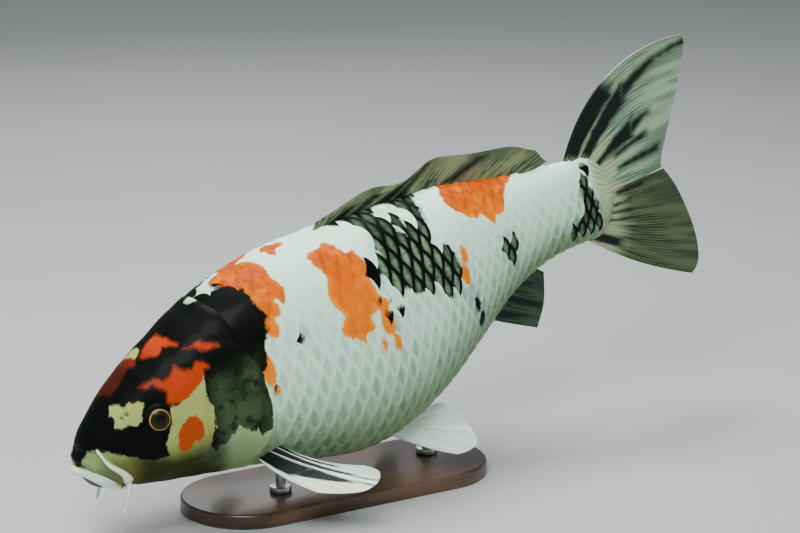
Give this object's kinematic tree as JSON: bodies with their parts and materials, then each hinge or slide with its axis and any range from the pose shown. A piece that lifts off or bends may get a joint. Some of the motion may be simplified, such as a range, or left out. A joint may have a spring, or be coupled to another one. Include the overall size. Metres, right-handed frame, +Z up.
{
  "type": "koi carp display model",
  "caption": "Life-size koi carp swimming head down with a slight bend, scaled white body with orange and black markings, held by short rods on a flat stand.",
  "frame": {"origin": "middle of the stand base's underside", "axes": "+X toward the tail (the snout points along -X), -Y out of the fish's left side, +Z up"},
  "size_m": [0.6289, 0.2084, 0.334],
  "materials": {
    "skin": "wet satin skin, white with orange and black markings",
    "scales": "overlapping satin scales that carry the skin's markings",
    "lip": "soft moist flesh, olive above and white below",
    "fin": "thin ribbed fin with pale rays and dark streaks",
    "eye": "polished, gold ring round a dark pupil",
    "base": "satin varnished dark wood",
    "rod": "fine turned steel"
  },
  "bodies": {
    "root": {"head": "skin", "jaw_lower": "skin", "lip_upper": "lip", "lip_lower": "lip", "trunk_front": "skin", "trunk_rear": "skin", "tail_stalk": "skin", "gill_cover_left": "skin", "eye_left": "eye", "fin_pectoral_left": "fin", "fin_pelvic_left": "fin", "gill_cover_right": "skin", "eye_right": "eye", "fin_pectoral_right": "fin", "fin_pelvic_right": "fin", "barbel_corner_left": "lip", "barbel_front_left": "lip", "barbel_corner_right": "lip", "barbel_front_right": "lip", "fin_dorsal": "fin", "fin_anal": "fin", "fin_caudal_upper": "fin", "fin_caudal_lower": "fin", "stand_base": "base", "stand_rod_front": "rod", "stand_collar_front": "rod", "stand_rod_rear": "rod", "stand_collar_rear": "rod"}
  },
  "joints": []
}
